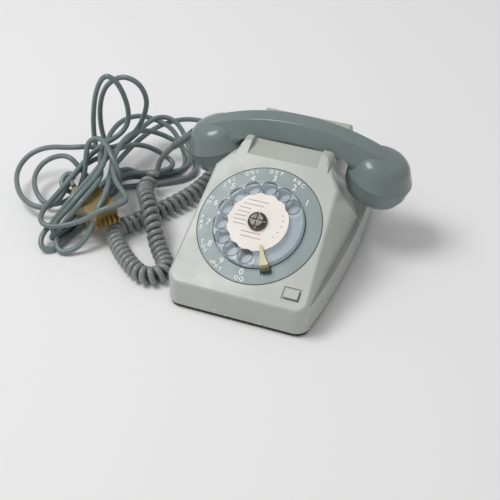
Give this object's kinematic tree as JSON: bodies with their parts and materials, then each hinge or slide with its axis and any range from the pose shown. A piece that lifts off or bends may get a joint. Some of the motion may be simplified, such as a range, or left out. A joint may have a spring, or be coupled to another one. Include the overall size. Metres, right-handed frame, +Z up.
{
  "type": "rotary telephone",
  "caption": "Desk telephone with a rotary dial on a sloping face, a handset across a horned cradle, a push button, a curly handset cord and a wound line cord with its plug.",
  "frame": {"origin": "middle of the underside of the feet", "axes": "+X to the right of a user facing the dial, +Y to the back, +Z up"},
  "size_m": [0.3763, 0.259, 0.1084],
  "materials": {
    "shell_grey": "light grey moulded plastic, satin gloss, small nicks on the front",
    "base_black": "black moulded plastic",
    "foot_rubber": "black rubber",
    "steel": "zinc plated steel",
    "dial_dark": "dark grey plastic behind the clear wheel",
    "ring_grey": "mid grey plastic with white numbers",
    "stop_metal": "pale plated metal",
    "clear_plastic": "clear plastic finger wheel",
    "card_paper": "cream paper with plain ruled lines",
    "hub_metal": "darkened metal",
    "brass": "turned brass",
    "board_resin": "brown laminate",
    "coil_winding": "varnished winding",
    "capacitor_can": "aluminium can",
    "dark_plastic": "black moulded plastic",
    "gong_steel": "plated steel bells",
    "handset_grey": "darker grey moulded plastic, glossy",
    "capsule_metal": "aluminium capsule",
    "cord_grey": "grey plastic covered cord",
    "plug_ivory": "ivory plastic"
  },
  "bodies": {
    "base": {"housing": "shell_grey", "base_plate": "base_black", "rubber_feet": "foot_rubber", "base_screws": "steel", "dial_plate": "dial_dark", "number_ring": "ring_grey", "finger_stop": "stop_metal", "dial_bridge": "steel", "dial_return_spring": "steel", "pulse_contacts": "dark_plastic", "button_spring": "steel", "button_switch": "dark_plastic", "hook_spring": "steel", "hook_bridge": "steel", "hook_switch": "dark_plastic", "circuit_board": "board_resin", "transformer": "coil_winding", "capacitor": "capacitor_can", "terminal_block": "dark_plastic", "ringer_bracket": "steel", "gong_right": "gong_steel", "gong_left": "gong_steel", "gong_screws": "steel", "ringer_coil": "coil_winding", "line_gland": "cord_grey", "handset_gland": "cord_grey", "line_cord": "cord_grey", "handset_cord_base_lead": "cord_grey", "handset_cord_coil": "cord_grey", "handset_cord_top_lead": "cord_grey", "line_cord_hank": "cord_grey", "plug_body": "plug_ivory", "plug_cover": "plug_ivory", "plug_contacts": "brass", "plug_boot": "plug_ivory"},
    "dial": {"finger_wheel": "clear_plastic", "dial_card": "card_paper", "hub_screw": "hub_metal", "dial_shaft": "steel", "main_gear": "brass"},
    "second_arbor": {"second_wheel": "brass"},
    "governor": {"governor_rotor": "brass", "governor_weights": "brass"},
    "button": {"push_button": "shell_grey"},
    "hook": {"hook_bar": "shell_grey"},
    "striker": {"clapper": "brass"},
    "handset": {"handset_body": "handset_grey", "earpiece_cap": "handset_grey", "mouthpiece_cap": "handset_grey", "receiver_capsule": "capsule_metal", "microphone_capsule": "capsule_metal", "handset_cord_sleeve": "cord_grey"}
  },
  "joints": [
    {"name": "dial_turn", "type": "hinge", "parent": "base", "child": "dial", "pos_m": [0, -0.04204, 0.05983], "axis": [0, 0.4959, -0.8684], "range_deg": [0, 333], "stiffness_Nm_per_rad": 0.004, "springref_deg": -114.59, "deforming": ["dial_return_spring"]},
    {"name": "second_arbor_turn", "type": "hinge", "parent": "base", "child": "second_arbor", "pos_m": [0.0288, -0.04204, 0.05983], "axis": [0, 0.4959, -0.8684], "range_deg": [-1740, 20]},
    {"name": "governor_turn", "type": "hinge", "parent": "base", "child": "governor", "pos_m": [0.01981, -0.02271, 0.07087], "axis": [0, 0.4959, -0.8684], "range_deg": [-20, 6960]},
    {"name": "button_press", "type": "slide", "parent": "base", "child": "button", "axis": [0, 0.4959, -0.8684], "range_m": [0, 0.0025], "stiffness_N_per_m": 150, "springref_m": -0.002, "deforming": ["button_spring"]},
    {"name": "handset_lift", "type": "slide", "parent": "base", "child": "handset", "axis": [0, 0, 1], "range_m": [0, 0.12]},
    {"name": "hook_rise", "type": "slide", "parent": "base", "child": "hook", "axis": [0, 0, 1], "range_m": [0, 0.006], "deforming": ["hook_spring"]},
    {"name": "clapper_swing", "type": "hinge", "parent": "base", "child": "striker", "pos_m": [0, 0.04, 0.027], "axis": [0, 0, 1], "range_deg": [-1.5, 1.5]}
  ],
  "couplings": [
    {"joint": "second_arbor_turn", "follows": "dial_turn", "ratio": -5},
    {"joint": "governor_turn", "follows": "dial_turn", "ratio": 20},
    {"joint": "hook_rise", "follows": "handset_lift", "ratio": 0.05}
  ]
}
